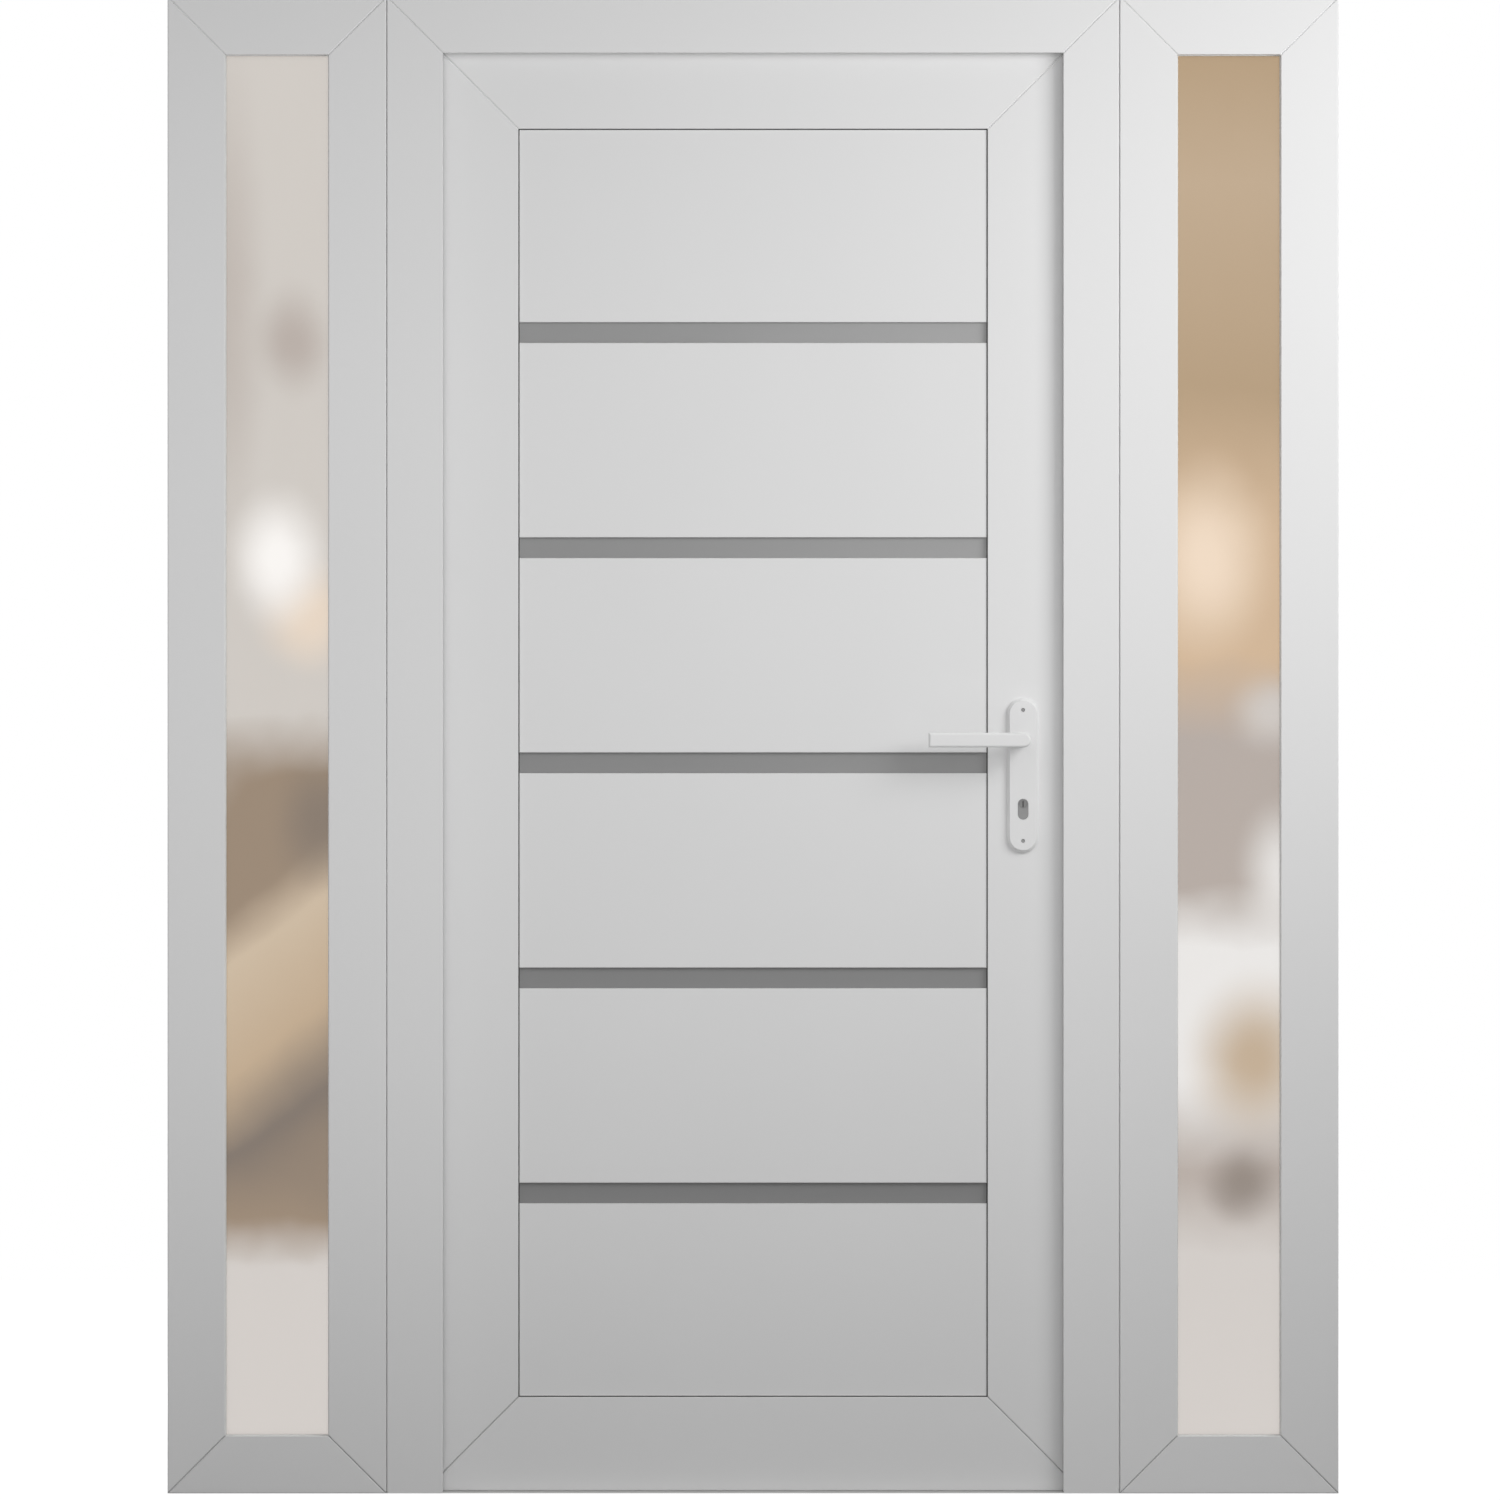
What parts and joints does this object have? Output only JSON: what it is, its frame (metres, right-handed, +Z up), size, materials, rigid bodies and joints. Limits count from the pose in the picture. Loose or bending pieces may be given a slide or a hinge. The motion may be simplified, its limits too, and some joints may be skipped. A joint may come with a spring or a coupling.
{
  "type": "exterior door with two sidelights",
  "caption": "White front door with flush infill panels, frosted glass strips, a lever handle on a long plate and a narrow glazed sidelight on each side.",
  "frame": {"origin": "underside of the threshold, at the middle of the door unit's width and of the frame's depth", "axes": "+Z up, +X to the right seen from outside, +Y from outside to inside"},
  "size_m": [1.59, 0.18, 2.032],
  "materials": {
    "frame_white": "smooth satin white plastic profile",
    "leaf_white": "smooth satin white plastic profile",
    "panel_white": "smooth satin white panel skin",
    "frosted_glass": "frosted grey safety glass",
    "reflective_glass": "clear double glazing with a warm mirror-like surface",
    "gasket_grey": "dark grey rubber",
    "spacer_aluminium": "mill aluminium",
    "threshold_aluminium": "brushed natural aluminium",
    "handle_white": "satin white powder coat",
    "hinge_white": "satin white powder coat",
    "cylinder_nickel": "satin nickel",
    "lock_steel": "zinc plated steel"
  },
  "bodies": {
    "frame": {"left_door_jamb": "frame_white", "right_door_jamb": "frame_white", "door_head": "frame_white", "threshold": "threshold_aluminium", "door_frame_seal": "gasket_grey", "strike_plate": "lock_steel", "hinge_pins": "hinge_white", "hinge_frame_halves": "hinge_white", "coupling_strips": "frame_white", "left_sidelight_outer_stile": "frame_white", "left_sidelight_inner_stile": "frame_white", "left_sidelight_rails": "frame_white", "left_sidelight_glass": "reflective_glass", "left_sidelight_spacer": "spacer_aluminium", "left_sidelight_gaskets": "gasket_grey", "left_sidelight_side_beads": "frame_white", "left_sidelight_end_beads": "frame_white", "right_sidelight_outer_stile": "frame_white", "right_sidelight_inner_stile": "frame_white", "right_sidelight_rails": "frame_white", "right_sidelight_glass": "reflective_glass", "right_sidelight_spacer": "spacer_aluminium", "right_sidelight_gaskets": "gasket_grey", "right_sidelight_side_beads": "frame_white", "right_sidelight_end_beads": "frame_white"},
    "leaf": {"leaf_hinge_stile": "leaf_white", "leaf_lock_stile": "leaf_white", "leaf_top_rail": "leaf_white", "leaf_bottom_rail": "leaf_white", "leaf_side_beads": "leaf_white", "leaf_end_beads": "leaf_white", "infill_panels": "panel_white", "frosted_glass_strips": "frosted_glass", "leaf_gaskets": "gasket_grey", "leaf_seal": "gasket_grey", "bottom_sweep": "leaf_white", "lock_strip": "lock_steel", "latch_and_deadbolt": "lock_steel", "key_cylinder": "cylinder_nickel", "outdoor_backplate": "handle_white", "indoor_backplate": "handle_white", "hinge_leaf_halves": "hinge_white"},
    "lever": {"outdoor_lever": "handle_white", "indoor_lever": "handle_white", "spindle": "lock_steel"}
  },
  "joints": [
    {"name": "leaf_swing", "type": "hinge", "parent": "frame", "child": "leaf", "pos_m": [-0.452, 0.068, 1.13], "axis": [0, 0, 1], "range_deg": [0, 95]},
    {"name": "lever_turn", "type": "hinge", "parent": "leaf", "child": "lever", "pos_m": [0.367, -0.014, 1.023], "axis": [0, -1, 0], "range_deg": [0, 40], "stiffness_Nm_per_rad": 1.5, "springref_deg": -28.65}
  ]
}
